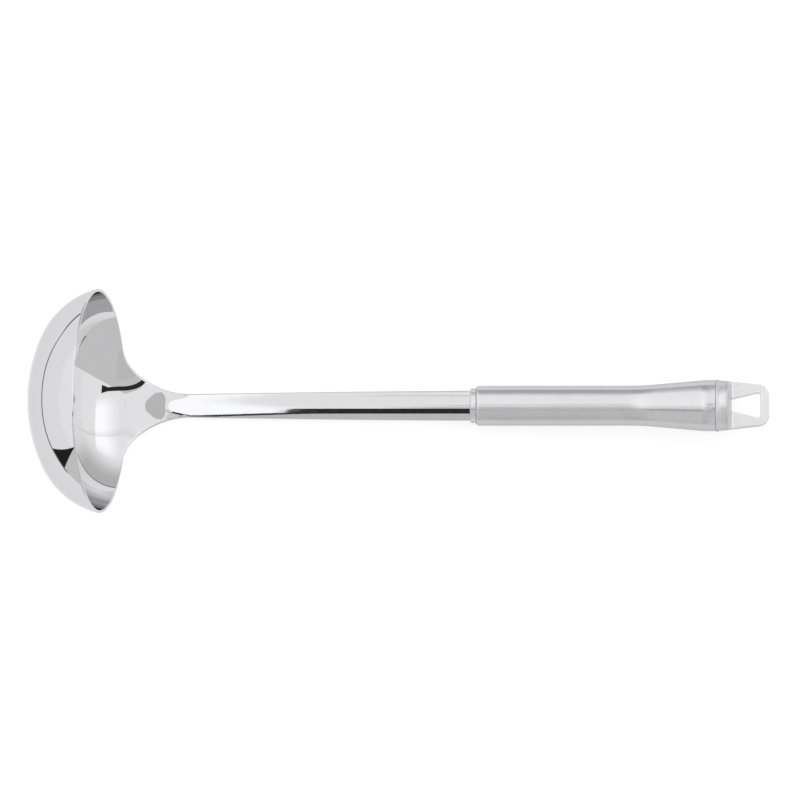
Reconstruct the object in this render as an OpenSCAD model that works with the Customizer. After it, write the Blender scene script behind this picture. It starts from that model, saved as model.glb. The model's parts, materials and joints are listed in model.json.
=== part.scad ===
// Ladle: bowl and shank pressed from one sheet, with a hollow round handle and a hanging loop.
// It lies on its back: handle along X with the tail towards +X, bowl opening towards +X and up.
// The origin is under the middle of its bounding box, on the surface that it lies on.

/* [Bowl] */
// Outer diameter across the rim
bowl_d = 100; // [90:1:115]
// Outer depth from the rim to the bottom
bowl_depth = 30.5; // [29:0.5:38]
// Outer radius of the shoulder between the bottom and the rim
shoulder_r = 35; // [31:0.5:36]
// Outward slope of the wall at the rim, in degrees from the bowl's axis
wall_draft = 14; // [9:0.5:17]
// Lean of the bowl's axis from the handle's axis, in degrees
bowl_lean = 7.8; // [4:0.1:16]
// Thickness of the pressed sheet
sheet_t = 1.5; // [1.2:0.1:2]

/* [Neck and shank] */
// Length of the neck, from the rim to the shank
neck_l = 29.5; // [25:0.5:34]
// Radius of the neck's hollow sides
flare_r = 35; // [35:1:45]
// Radius with which the neck's sides run out into the rim
root_r = 17; // [8:1:20]
// Width of the shank next to the neck
waist_w = 10.8; // [9:0.1:13]
// Width of the shank where it enters the handle
shank_w = 13.8; // [12:0.1:14.2]
// Length of the shank, from the neck to the front collar
shank_l = 127; // [90:1:180]
// Radius of the shank's rounded front face
crown_r = 16; // [13:0.5:40]
// Length of the tang inside the handle tube
tang_l = 36; // [30:1:60]

/* [Handle tube] */
// Length of the tube
tube_l = 107.5; // [85:0.5:140]
// Outer diameter of the straight grip
tube_d = 18; // [17.8:0.1:22]
// Outer diameter at the tail
tail_d = 23; // [20:0.5:24.5]
// Wall thickness of the tube
tube_wall = 0.8; // [0.6:0.1:1]
// Length over which the tube widens
swell_l = 36.5; // [31:0.5:50]
// Straight length behind the widening
tail_land_l = 3.5; // [1:0.5:10]
// Radius where the widening starts
swell_start_r = 150; // [80:5:200]
// Radius where the widening ends
swell_end_r = 35; // [20:1:60]
// Rounding of the tube's front edge
tube_lip_r = 0.5; // [0.2:0.1:0.6]

/* [Front collar and tang bush] */
// Length of the collar's nose
nose_l = 2.5; // [1.5:0.1:5]
// Length of the shoulder against the tube
step_l = 0.5; // [0.3:0.1:1]
// How far the shoulder stands in from the tube's outside
step_in = 0.5; // [0.3:0.1:0.7]
// How far the nose stands in from the shoulder
nose_in = 0.7; // [0.4:0.1:0.9]
// Length of the collar's plug inside the tube
plug_l = 9; // [5:0.5:15]
// Length of the bush around the tang's end
bush_l = 12; // [6:0.5:15]

/* [End collar] */
// Height of the bead above the tube's tail
bead_h = 0.35; // [0.2:0.05:0.8]
// Length of the bead
bead_l = 1.5; // [1:0.1:3]
// Length of the tapered band behind the bead
band_l = 3.5; // [2:0.1:6]
// How far the band narrows towards the loop, on the radius
band_in = 0.35; // [0.1:0.05:1]
// Diameter of the bore that takes the loop's spigot
socket_d = 16; // [10:0.5:17]
// Length of the collar's spigot inside the tube
collar_spigot_l = 7; // [4:0.5:12]

/* [Hanging loop] */
// Length of the loop behind the band
loop_l = 19; // [17:0.5:24]
// Width of the loop at the tail
loop_w = 18; // [16:0.5:19]
// Thickness of the flat tab next to the band
tab_t = 6; // [5:0.1:8]
// Thickness of the flat tab at the tail
tab_end_t = 5; // [4:0.1:5.5]
// Radius of the two tail corners
loop_corner_r = 4.6; // [3:0.1:6]
// Length of the full round base
base_l = 0.4; // [0.3:0.1:0.8]
// Length of the steep shoulder down to the tab
ramp_l = 1.7; // [1.2:0.1:2.3]
// Length of the gap
gap_l = 13; // [10:0.1:13.2]
// Width of the gap next to the band
gap_front_w = 5.4; // [4.6:0.1:7]
// Width of the gap at the tail
gap_rear_w = 11.6; // [8:0.1:12.4]
// Rounding of the gap's tail corners
gap_corner_r = 1.7; // [1:0.1:2.5]
// Width of the bar at the tail
tail_bar_w = 3.9; // [3:0.1:5]
// Length of the loop's spigot inside the end collar
loop_spigot_l = 10; // [6:0.5:14]

/* [Hidden] */

// Clearance of a spigot, plug or bush in its bore, on the radius
fit_gap = 0.05;
// Clearance of the tang in its slots
slot_gap = 0.1;
// How far a cut runs past what it cuts
overrun = 2;
// How far the neck's faces lie inside the bowl's faces, so that the two meet cleanly
weld_inset = 0.03;
// Length of the neck's root inside the bowl's wall
root_l = 1.2;
// Small rounding on turned edges
edge_r = 0.4;
// Depth of the grooves on either side of the bead
groove_depth = 0.15;
// Radius of the loop's foot where the tab leaves the shoulder
foot_r = 1;
// How far the loop's turned side stands outside the tab's outline
side_margin = 0.15;
// Power of the width with which the crown flattens along the neck
crown_power = 3;
// Share of the shank's widening that eases out towards the handle
ease_share = 0.75;
// Steps along arcs and faces
arc_steps = 16;
cap_steps = 6;
face_steps = 20;
neck_steps = 22;
shank_steps = 10;
$fn = 96;

// Bowl, in its own frame: r outwards from its axis, h upwards from the rim's plane
shoulder_centre = [bowl_d / 2 - shoulder_r * cos(wall_draft), shoulder_r * sin(wall_draft)];
shoulder_rise = bowl_depth + shoulder_centre[1];
bottom_r = (shoulder_rise ^ 2 + shoulder_centre[0] ^ 2 - shoulder_r ^ 2) / (2 * (shoulder_rise - shoulder_r));
bottom_centre = [0, bottom_r - bowl_depth];
bottom_angle = atan2(shoulder_centre[0], bottom_centre[1] - shoulder_centre[1]);
rim_mid = [bowl_d / 2, 0] + sheet_t / 2 * [-cos(wall_draft), sin(wall_draft)];

// Handle frame: x = 0 at the tube's front end, z = 0 on the handle's axis
collar_l = nose_l + step_l;
shank_start_x = -collar_l - shank_l;
rim_x = shank_start_x - neck_l;
half_t = sheet_t / 2 - weld_inset;
crown_mid_r = crown_r - sheet_t / 2;
shank_z = (crown_mid_r - sqrt(crown_mid_r ^ 2 - (shank_w / 2) ^ 2)) / 2;
rim_z = shank_z + tan(wall_draft - bowl_lean) * neck_l / 2;
bowl_axis = [cos(bowl_lean), 0, sin(bowl_lean)];
bowl_back = [sin(bowl_lean), 0, -cos(bowl_lean)];
rim_centre = [rim_x, 0, rim_z] - rim_mid[0] * bowl_back - rim_mid[1] * bowl_axis;

// Outline of the neck and shank, as half widths of the sheet at a distance s from the rim
root_y = waist_w / 2 + flare_r - sqrt((flare_r - root_r) ^ 2 - (neck_l - root_r) ^ 2);
root_end_s = neck_l - flare_r * (neck_l - root_r) / (flare_r - root_r);

// Handle tube, from x = 0
tube_r = tube_d / 2;
tail_r = tail_d / 2;
bore_r = tube_r - tube_wall;
tail_bore_r = tail_r - tube_wall;
swell_start_x = tube_l - tail_land_l - swell_l;
swell_radii = swell_start_r + swell_end_r;
swell_drop = swell_radii - (tail_r - tube_r);
swell_angle = asin(swell_radii / norm([swell_l, swell_drop])) - atan2(swell_drop, swell_l);

// End collar and loop
bead_d = tail_d + 2 * bead_h;
band_d = tail_d - 2 * band_in;
band_x = tube_l + bead_l;
loop_x = band_x + band_l;
tail_x = loop_x + loop_l;
bead_x = tube_l + bead_l / 2;

// Pose: the angle at which the sheet and the handle both touch the surface. The handle touches it
// with the tube's front edge or with the bead, whichever is the lower.
outer_side = concat(bottom_points(0), shoulder_points(0));
stations = concat([-root_l], neck_stations(), shank_stations());
back_points = concat([for (p = outer_side) from_bowl(p, 0)], [for (s = stations) each sheet_ring(s)]);
handle_feet = [[tube_lip_r, tube_r], [bead_x, bead_d / 2]];
lie_angle = min([for (p = back_points) max([for (f = handle_feet) atan2(p[2] + f[1], f[0] - p[0])])]);
left_x = min([for (p = outer_side) for (turn = [0, 180]) lying_x(from_bowl(p, turn))]);
right_x = lying_x([tail_x - edge_r, 0, edge_r - tab_end_t / 2]) + edge_r;
lift = max([for (f = handle_feet) f[1] * cos(lie_angle) - f[0] * sin(lie_angle)]);

function lying_x(p) = p[0] * cos(lie_angle) - p[2] * sin(lie_angle);

function ease(t) = t <= 0 ? 0 : t >= 1 ? 1 : t * t * (3 - 2 * t);

// Points of an arc from angle a to angle b, counted from straight down towards +r
function arc(centre, r, a, b, steps) =
    [for (i = [0:steps]) let (t = a + (b - a) * i / steps) centre + r * [sin(t), -cos(t)]];

// The two arcs of the bowl's wall, offset inwards by inset, from the bottom to the rim
function bottom_points(inset) = arc(bottom_centre, bottom_r - inset, 0, bottom_angle, arc_steps);

function shoulder_points(inset) =
    arc(shoulder_centre, shoulder_r - inset, bottom_angle, 90 - wall_draft, arc_steps);

function reversed(list) = [for (i = [len(list) - 1:-1:0]) list[i]];

// A point of the bowl's frame in the handle frame, turned about the bowl's axis from its back
function from_bowl(p, turn) =
    rim_centre + p[0] * (cos(turn) * bowl_back + [0, sin(turn), 0]) + p[1] * bowl_axis;

function half_width(s) =
    s <= 0 ? root_y :
    s < root_end_s ? root_y - sqrt(root_r ^ 2 - (root_r - s) ^ 2) :
    s < neck_l ? waist_w / 2 + flare_r - sqrt(flare_r ^ 2 - (neck_l - s) ^ 2) :
    (waist_w + (shank_w - waist_w) * widening((s - neck_l) / shank_l)) / 2;

function widening(t) = t >= 1 ? 1 : (1 - ease_share) * t + ease_share * sin(90 * t);

// A point of the sheet: s along it from the rim, a across it, off from its middle to its front face.
// The neck blends the bowl's wall, carried on past the rim, into the crowned shank.
function sheet_point(s, a, off) =
    wall_point(s, a, off) + (shank_point(s, a, off) - wall_point(s, a, off)) * ease(s / neck_l);

function wall_point(s, a, off) =
    let (mid = rim_mid + s * [sin(wall_draft), cos(wall_draft)])
    from_bowl(mid + off * [-cos(wall_draft), sin(wall_draft)], a / mid[0] * 180 / PI);

function shank_point(s, a, off) =
    let (r = crown_at(s), turn = a / r * 180 / PI)
    [rim_x + s, (r + off) * sin(turn), shank_z - r + (r + off) * cos(turn)];

// Radius of the crown at a distance s from the rim, which flattens as the neck widens
function crown_at(s) = crown_mid_r * (s < neck_l ? (2 * half_width(s) / waist_w) ^ crown_power : 1);

// One closed ring around the sheet: front face, rounded edge, back face, rounded edge
function sheet_ring(s) =
    let (w = half_width(s) - half_t)
    concat(
        [for (i = [0:face_steps]) sheet_point(s, w * (2 * i / face_steps - 1), half_t)],
        [for (i = [1:cap_steps - 1]) edge_point(s, w, 180 * i / cap_steps)],
        [for (i = [0:face_steps]) sheet_point(s, w * (1 - 2 * i / face_steps), -half_t)],
        [for (i = [1:cap_steps - 1]) edge_point(s, -w, 180 - 180 * i / cap_steps)]
    );

function edge_point(s, w, turn) = sheet_point(s, w + sign(w) * half_t * sin(turn), half_t * cos(turn));

function neck_stations() = [for (i = [0:neck_steps]) neck_l * (i / neck_steps) ^ 2];

function shank_stations() =
    concat([for (i = [1:shank_steps]) neck_l + shank_l * i / shank_steps], [neck_l + shank_l + collar_l + tang_l]);

// Outline of the tang's section, grown by a clearance, in y and z
function tang_outline(grow) =
    let (w = shank_w / 2 - half_t)
    concat(
        [for (i = [0:face_steps]) tang_corner(w * (2 * i / face_steps - 1), half_t + grow)],
        [for (i = [1:cap_steps - 1]) tang_edge(w, 180 * i / cap_steps, half_t + grow)],
        [for (i = [0:face_steps]) tang_corner(w * (1 - 2 * i / face_steps), -half_t - grow)],
        [for (i = [1:cap_steps - 1]) tang_edge(-w, 180 - 180 * i / cap_steps, half_t + grow)]
    );

function tang_corner(a, off) = let (p = shank_point(neck_l, a, off)) [p[1], p[2]];

function tang_edge(w, turn, r) = tang_corner(w + sign(w) * r * sin(turn), r * cos(turn));

// Outer side of the tube from x = from to the tail, as radius and x, set in by inset
function tube_side(from, inset) =
    concat(
        [[tube_r - inset, from]],
        [for (i = [0:arc_steps]) swell_first(swell_angle * i / arc_steps) - [inset, 0]],
        [for (i = [arc_steps:-1:0]) swell_last(swell_angle * i / arc_steps) - [inset, 0]],
        [[tail_r - inset, tube_l]]
    );

function swell_first(turn) = [tube_r + swell_start_r * (1 - cos(turn)), swell_start_x + swell_start_r * sin(turn)];

function swell_last(turn) = [tail_r - swell_end_r * (1 - cos(turn)), swell_start_x + swell_l - swell_end_r * sin(turn)];

// A solid through rings of equal length; each ring's caps are strips between its two faces
module loft(rings) {
    count = len(rings[0]);
    last = (len(rings) - 1) * count;
    sides = [
        for (j = [0:len(rings) - 2]) for (i = [0:count - 1])
            let (a = j * count + i, b = j * count + (i + 1) % count)
            each [[a, b, b + count], [a, b + count, a + count]]
    ];
    polyhedron(
        points = [for (r = rings) each r],
        faces = concat(sides, [for (f = ring_cap(count)) reversed(f)], [for (f = ring_cap(count)) [for (v = f) v + last]])
    );
}

// Triangles that close a ring of the sheet, as a strip from one edge to the other
function ring_cap(count) =
    [
        for (i = [0:count / 2 - 2])
            let (a = (i + count - cap_steps / 2 + 1) % count, b = (i + count - cap_steps / 2 + 2) % count,
                 c = (2 * count - cap_steps / 2 - i) % count, d = (2 * count - cap_steps / 2 - i - 1) % count)
            each (c == a ? [[a, b, d]] : d == b ? [[a, b, c]] : [[a, b, d], [a, d, c]])
    ];

// A turned solid on the handle's axis, from points of radius and x
module turned(profile) {
    rotate([0, 90, 0])
        rotate_extrude()
            polygon(profile);
}

// The slot for the tang, from x = from to x = to
module tang_slot(from, to) {
    translate([from, 0, 0])
        rotate([90, 0, 90])
            linear_extrude(to - from)
                polygon(tang_outline(slot_gap));
}

// From the handle frame to the lying pose
module lying() {
    translate([-(left_x + right_x) / 2, 0, lift])
        rotate([0, -lie_angle, 0])
            children();
}

module bowl_shell() {
    rim_edge = arc(rim_mid, sheet_t / 2, 90 - wall_draft, 270 - wall_draft, cap_steps);
    translate(rim_centre)
        rotate([0, 90 - bowl_lean, 0])
            rotate_extrude()
                polygon(concat(
                    outer_side,
                    [for (i = [1:cap_steps - 1]) rim_edge[i]],
                    reversed(shoulder_points(sheet_t)),
                    [for (i = [arc_steps - 1:-1:0]) bottom_points(sheet_t)[i]]
                ));
}

module bowl_and_shank() {
    color("silver")
        lying() {
            bowl_shell();
            loft([for (s = stations) sheet_ring(s)]);
        }
}

module front_collar() {
    step_r = tube_r - step_in;
    nose_r = step_r - nose_in;
    plug_r = bore_r - fit_gap;
    color("lightgray")
        lying()
            difference() {
                turned(concat(
                    [[0, -collar_l], [nose_r - edge_r, -collar_l]],
                    [[nose_r, edge_r - collar_l], [nose_r, -step_l], [step_r, -step_l], [step_r, 0]],
                    [[plug_r, 0], [plug_r, plug_l - edge_r], [plug_r - edge_r, plug_l], [0, plug_l]]
                ));
                tang_slot(-collar_l - overrun, plug_l + overrun);
            }
}

module tang_bush() {
    bush_r = bore_r - fit_gap;
    bush_x = tang_l - bush_l;
    color("dimgray")
        lying()
            difference() {
                turned([
                    [0, bush_x], [bush_r - edge_r, bush_x], [bush_r, bush_x + edge_r],
                    [bush_r, tang_l - edge_r], [bush_r - edge_r, tang_l], [0, tang_l]
                ]);
                tang_slot(bush_x - overrun, tang_l + overrun);
            }
}

module handle_tube() {
    lip = [for (i = [0:cap_steps]) [tube_r, tube_lip_r] + tube_lip_r * [cos(90 * i / cap_steps) - 1, -sin(90 * i / cap_steps)]];
    color("darkgray")
        lying()
            turned(concat(reversed(lip), tube_side(tube_lip_r * 2, 0), reversed(tube_side(0, tube_wall))));
}

module end_collar() {
    spigot_r = tail_bore_r - fit_gap;
    bead_base = [tail_r - groove_depth, tube_l];
    bead_rise = bead_d / 2 - bead_base[0];
    color("lightgray")
        lying()
            turned(concat(
                [[socket_d / 2, tube_l - collar_spigot_l], [spigot_r - edge_r, tube_l - collar_spigot_l]],
                [[spigot_r, tube_l - collar_spigot_l + edge_r], [spigot_r, tube_l]],
                [for (i = [0:arc_steps]) bead_base + [bead_rise * sin(180 * i / arc_steps), bead_l * i / arc_steps]],
                [[band_d / 2, loop_x], [socket_d / 2, loop_x]]
            ));
}

module hanging_loop() {
    color("gainsboro")
        lying() {
            difference() {
                intersection() {
                    loop_blank();
                    loop_side_view();
                    loop_top_view();
                }
                loop_gap();
            }
            turned([
                [0, loop_x - loop_spigot_l], [socket_d / 2 - fit_gap - edge_r, loop_x - loop_spigot_l],
                [socket_d / 2 - fit_gap, loop_x - loop_spigot_l + edge_r],
                [socket_d / 2 - fit_gap, loop_x + base_l / 2], [0, loop_x + base_l / 2]
            ]);
        }
}

// Half width of the loop's outline at a distance x behind the band
function loop_side(x) = band_d / 2 - (band_d - loop_w) / 2 * x / loop_l;

// The turned cone that the loop's sides are cut from
module loop_blank() {
    turned([
        [0, loop_x], [loop_side(0), loop_x], [loop_side(base_l) + side_margin, loop_x + base_l],
        [loop_side(loop_l + overrun) + side_margin, tail_x + overrun], [0, tail_x + overrun]
    ]);
}

// The loop seen from the side: a full round base, a steep shoulder and a tapering flat tab
module loop_side_view() {
    foot_x = base_l + ramp_l;
    ramp_angle = atan2(ramp_l, (band_d - tab_t) / 2);
    foot_turn = 90 - ramp_angle;
    foot = [
        for (i = [0:cap_steps])
            [foot_x + foot_r * tan(foot_turn / 2), tab_t / 2 + foot_r]
                - foot_r * [sin(foot_turn * (1 - i / cap_steps)), cos(foot_turn * (1 - i / cap_steps))]
    ];
    tail = [
        for (i = [0:cap_steps])
            [loop_l - edge_r, tab_end_t / 2 - edge_r] + edge_r * [sin(90 * i / cap_steps), cos(90 * i / cap_steps)]
    ];
    half = concat([[-overrun, band_d], [base_l, band_d], [base_l, band_d / 2 + edge_r]], foot, tail);
    translate([loop_x, 0, 0])
        rotate([90, 0, 0])
            linear_extrude(band_d + overrun, center = true)
                polygon(concat(half, reversed([for (p = half) [p[0], -p[1]]])));
}

// The loop seen from above: straight tapering sides and two round tail corners
module loop_top_view() {
    side_angle = atan2((band_d - loop_w) / 2, loop_l);
    corner_x = loop_l - loop_corner_r;
    corner_y = loop_side(corner_x) - loop_corner_r / cos(side_angle);
    corner = [
        for (i = [0:arc_steps])
            let (turn = side_angle + (90 - side_angle) * i / arc_steps)
            [corner_x, corner_y] + loop_corner_r * [sin(turn), cos(turn)]
    ];
    half = concat([[0, loop_side(0)]], corner);
    translate([loop_x, 0, 0])
        linear_extrude(band_d + overrun, center = true)
            polygon(concat(half, reversed([for (p = half) [p[0], -p[1]]])));
}

// The gap that a hook or rail goes through, wider towards the tail
module loop_gap() {
    gap_x = loop_l - tail_bar_w - gap_l;
    gap_angle = atan2((gap_rear_w - gap_front_w) / 2, gap_l);
    corner_x = gap_x + gap_l - gap_corner_r;
    corner_y = gap_front_w / 2 + tan(gap_angle) * (corner_x - gap_x) - gap_corner_r / cos(gap_angle);
    corner = [
        for (i = [0:cap_steps])
            let (turn = -gap_angle + (90 + gap_angle) * i / cap_steps)
            [corner_x, corner_y] + gap_corner_r * [sin(turn), cos(turn)]
    ];
    half = concat([[gap_x, gap_front_w / 2]], corner);
    translate([loop_x, 0, 0])
        linear_extrude(band_d + overrun, center = true)
            polygon(concat(half, reversed([for (p = half) [p[0], -p[1]]])));
}

bowl_and_shank();
front_collar();
tang_bush();
handle_tube();
end_collar();
hanging_loop();
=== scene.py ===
# Ladle on a white floor: smooth sheet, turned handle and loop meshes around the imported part.
import json
import math

import bmesh
import bpy
import numpy as np
from mathutils import Matrix, Vector


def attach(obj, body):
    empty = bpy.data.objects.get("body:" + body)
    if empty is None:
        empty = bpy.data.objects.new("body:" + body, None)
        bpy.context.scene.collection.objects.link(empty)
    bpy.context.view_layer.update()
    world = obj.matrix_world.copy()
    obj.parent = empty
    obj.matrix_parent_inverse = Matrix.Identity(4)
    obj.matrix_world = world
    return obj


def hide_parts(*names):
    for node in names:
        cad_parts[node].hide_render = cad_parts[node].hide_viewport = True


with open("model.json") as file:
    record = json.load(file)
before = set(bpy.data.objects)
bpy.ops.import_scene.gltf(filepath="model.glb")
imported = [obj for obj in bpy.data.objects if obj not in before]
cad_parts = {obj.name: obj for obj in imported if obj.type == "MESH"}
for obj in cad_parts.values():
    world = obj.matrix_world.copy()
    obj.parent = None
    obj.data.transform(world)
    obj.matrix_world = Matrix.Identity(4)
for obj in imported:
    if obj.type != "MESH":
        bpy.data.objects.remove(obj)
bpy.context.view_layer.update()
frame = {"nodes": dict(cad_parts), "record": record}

MM = 0.001

# Camera: a long lens above the middle of the ladle, a little towards -Y
CAMERA_PLACE = Vector((0.00799, -0.14198, 3.3))
CAMERA_AIM = Vector((-0.00041, 0.00292, 0))
CAMERA_TURN = math.radians(-0.125)
CAMERA_SENSOR = 36
CAMERA_LENS = 328.5

# Bowl, in millimetres and degrees
BOWL_D = 100
BOWL_DEPTH = 30.5
SHOULDER_R = 35
WALL_DRAFT = math.radians(14)
BOWL_LEAN = math.radians(7.8)
SHEET_T = 1.5

# Neck and shank
NECK_L = 29.5
FLARE_R = 35
ROOT_R = 17
WAIST_W = 10.8
SHANK_W = 13.8
SHANK_L = 127
CROWN_R = 16
CROWN_POWER = 3
TANG_L = 36
EASE_SHARE = 0.75

# Handle tube
TUBE_L = 107.5
TUBE_D = 18
TAIL_D = 23
TUBE_WALL = 0.8
SWELL_L = 36.5
TAIL_LAND_L = 3.5
SWELL_START_R = 150
SWELL_END_R = 35
TUBE_LIP_R = 0.5

# Front collar
NOSE_L = 2.5
STEP_L = 0.5
STEP_IN = 0.5
NOSE_IN = 0.7
PLUG_L = 9
FIT_GAP = 0.05
SLOT_GAP = 0.1
NOSE_EDGE_R = 0.45

# End collar
BEAD_H = 0.35
BEAD_L = 1.5
BAND_L = 3.5
BAND_IN = 0.35
GROOVE_DEPTH = 0.15
COLLAR_SPIGOT_L = 7

# Hanging loop
LOOP_L = 19
LOOP_W = 18
TAB_T = 6
TAB_END_T = 5
LOOP_CORNER_R = 4.6
BASE_L = 0.4
RAMP_L = 1.7
GAP_L = 13
GAP_FRONT_W = 5.4
GAP_REAR_W = 11.6
GAP_CORNER_R = 1.7
TAIL_BAR_W = 3.9
SIDE_MARGIN = 0.15
FOOT_R = 1
LOOP_EDGE_R = 0.4
GAP_EDGE_R = 0.35
SOCKET_D = 16
LOOP_SPIGOT_L = 10

HALF_T = SHEET_T / 2
COLLAR_L = NOSE_L + STEP_L
RIM_X = -COLLAR_L - SHANK_L - NECK_L
CROWN_MID_R = CROWN_R - HALF_T
TUBE_R = TUBE_D / 2
TAIL_R = TAIL_D / 2
BORE_R = TUBE_R - TUBE_WALL
BEAD_R = TAIL_R + BEAD_H
BAND_R = TAIL_R - BAND_IN
BAND_X = TUBE_L + BEAD_L
LOOP_X = BAND_X + BAND_L
TAIL_X = LOOP_X + LOOP_L

# Steps of the meshes
BOTTOM_ROWS = 26
SHOULDER_ROWS = 44
RIM_COLUMNS = 220
NECK_COLUMNS = 56
ROOT_ROWS = 26
FLARE_ROWS = 40
SHANK_ROWS = 40
CAP_STEPS = 12
TURN_STEPS = 192
FILLET_STEPS = 5
BEAD_STEPS = 20
SWELL_STEPS = 24
TUBE_ROWS = 60
# Size of the cells that the loop's surface is found in, in millimetres
LOOP_CELL = 0.22
# Points nearer than this become one, in millimetres
WELD_DIST = 0.0005
# Rounds that bring the loop's points onto its surface
FIT_ROUNDS = 6
# Step, as a share of a cell, over which the loop's slope is measured, and the least slope used
PROBE_SHARE = 0.01
LEAST_SLOPE = 0.5
# Edges sharper than this stay sharp after a cut
SHARP_ANGLE = math.radians(30)
# How far a cut runs past what it cuts
OVERRUN = 1
# Small roundings on the turned pieces
SEAM_R = 0.12
TURNED_EDGE_R = 0.4
# Distance of the first row of faces from an edge, which keeps the reflections crisp there
EDGE_ROW = 0.08
# Length of rim beside the neck over which the neck's shape fades out
NECK_FADE = 10

# Colours of the steels and the nylon
POLISHED_COLOR = (0.69, 0.69, 0.7)
SATIN_COLOR = (0.69, 0.69, 0.7)
CAST_COLOR = (0.78, 0.78, 0.785)
NYLON_COLOR = (0.25, 0.25, 0.26)
# Tints of the reflections near an outline
POLISHED_EDGE = (0.86, 0.86, 0.87)
SATIN_EDGE = (0.74, 0.74, 0.75)
NYLON_EDGE = (1, 1, 1)
# Roughness of the finishes
POLISHED_BLUR = 0.012
HANDLE_BLUR = 0.1
END_COLLAR_BLUR = 0.27
CAST_BLUR = 0.28
NYLON_BLUR = 0.48
# Heights of their relief, in millimetres
SHEET_WAVE_H = 0.001
HAIRLINE_H = 0.00003
RING_H = 0.006
STREAK_H = 0.04
MOULD_GRAIN_H = 0.03
# Marks on them per millimetre each way
HAIRLINES = (0.08, 5, 5)
HAZE = (0.12, 0.12, 0.12)
SHEET_WAVES = (0.2, 0.2, 0.2)
RINGS = (3.2, 0.05, 0.05)
HANDLE_CLOUDS = (0.09, 0.25, 0.25)
STREAK_BENDS = (0.35, 0.35, 0.35)
LONG_STREAKS = (0.1, 2.4, 2.4)
CROSS_STREAKS = (2.4, 0.1, 2.4)
MOULD_GRAIN = (5, 5, 5)
MOULD_CLOUDS = (0.2, 0.2, 0.2)
# How far the loop's streaks bend, in millimetres
STREAK_BEND = 1.6
# Painted shade with polishing residue in the seams' crevices: place along the handle, reach to either
# side, and the darker tone there
GROOVE_SHADE_AND_RESIDUE = (TUBE_L, 0.2, 0.88)
NOSE_SHADE_AND_RESIDUE = (-COLLAR_L, 0.3, 0.8)
STEP_SHADE_AND_RESIDUE = (-0.3, 0.4, 0.78)
# Painted shade with residue at the loop's foot, in its corner against the band: the tone there, and how
# far it reaches, in millimetres
FOOT_SHADE_AND_RESIDUE_TONE = 0.86
FOOT_SHADE_AND_RESIDUE_L = 1

# Floor and table, in metres
FLOOR_SIZE = 6
FLOOR_COLOR = 0.5
FLOOR_GLOW = 0.62
TABLE_BOX = ((-0.52, -0.33), (0.6, 0.35))
TABLE_Z = -0.05
TABLE_CORNER_R = 0.12
TABLE_EDGE = 0.045
# Stretch of the table beside the handle with the softness of its ends, how soft the line below the
# handle is, and the shares of light lost on either side of it
HANDLE_SHADOW = (0, 0.24, 0.12)
HANDLE_SHADOW_SOFT = 0.06
NEAR_SHADOW = 0.17
FAR_SHADOW = 0.08

# Brightness of the studio's things: 1 is the white of the table
TABLE_LIGHT = 1
TABLE_EDGE_LIGHT = 0.22
CEILING_LIGHT = 1.07
WALL_LIGHT = 0.6
NEAR_SIDE_LIGHT = 0.73
NEAR_SIDE_LOW_LIGHT = 0.67
FAR_DUSK_LIGHT = 0.48
NEAR_DUSK_LIGHT = 0.58
RIGHT_THING_LIGHT = 0.1
HANDLE_BOX_LIGHT = 1.4
SEAM_LOSS = 0.15
BOWL_BOX_LIGHT = 1.38
BOWL_BOX_FAR_LIGHT = 1.12
STAND_LIGHT = 0.66
FLAG_LIGHT = 0.03
LEFT_THING_LIGHT = 0.02
# Least height of a direction for which u and v, its tangents from straight up, are worked out
LEAST_HEIGHT = 0.02
# Planes through the ladle: the grey by the near edge is nearer than the first, right of the second
NEAR_SIDE_PLANE = (0.362, 0.923, 0.136)
NEAR_SIDE_END = (0.691, -0.723, 0)
NEAR_SIDE_LOW_U = (-0.3, 0.3)
NEAR_SIDE_LOW_V = (-1.6, -0.45)
# The dusk on either side of the handle, in x and z
FAR_DUSK_X = (-0.14, -0.015)
NEAR_DUSK_X = (-0.14, -0.02)
NEAR_DUSK_Z = (-0.05, 0.58)
# Edge of the box above the bowl, which is a line in u and v, and the dark gap along it
BOX_EDGE_SLOPE = 9.2
BOX_EDGE_V = 0.94
BOX_V = (-1.7, 2.5)
BOX_GAP = (-0.045, 0.045)
BOX_GAP_V = (-1.6, -0.38)
# Disc of the camera's stand, and where it is cut off, in u and v
STAND_PLACE = (-0.02, 0.045)
STAND_R = 0.1
STAND_CUT_U = 0.06
# Black flag: a bar along the near edge with a wedge at its far end, and the shank's band
BAR_U = (0.02, 0.85)
BAR_V = (-0.315, -0.23)
WEDGE_U = (0.6, 0.85)
BAND_V = (-0.44, -0.125)
FLAG_SOFT = 0.004
# Black things beyond the table's corners: turn about the ladle, and height
RIGHT_THING_TURN = (-0.82, -0.54)
RIGHT_THING_Z = (-0.13, -0.102)
LEFT_THING_TURN = (-3, -2.381)
LEFT_THING_Z = -0.45
# Greys beside the handle: light, range of u and its softness, range of v and its softness
HANDLE_GREYS = (
    # Below the middle of the straight grip
    (0.73, (-0.125, -0.095), 0.01, (-0.14, -0.02), 0.02),
    # Lower half of the land at the tube's tail, with its dark line
    (0.84, (-0.088, 0.03), 0.006, (-0.4, -0.1), 0.04),
    (0.3, (-0.088, 0.03), 0.006, (-0.56, -0.46), 0.03),
    # Lower half of the swell, with its dark line
    (0.85, (-0.33, -0.205), 0.015, (-0.3, -0.07), 0.06),
    (0.7, (-0.33, -0.172), 0.01, (-2.5, -0.33), 0.1),
    (0.25, (-0.33, -0.172), 0.01, (-0.56, -0.4), 0.04),
    # Upper edge of the shank
    (0.82, (-0.145, -0.1), 0.01, (0.66, 0.76), 0.06),
)


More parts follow.
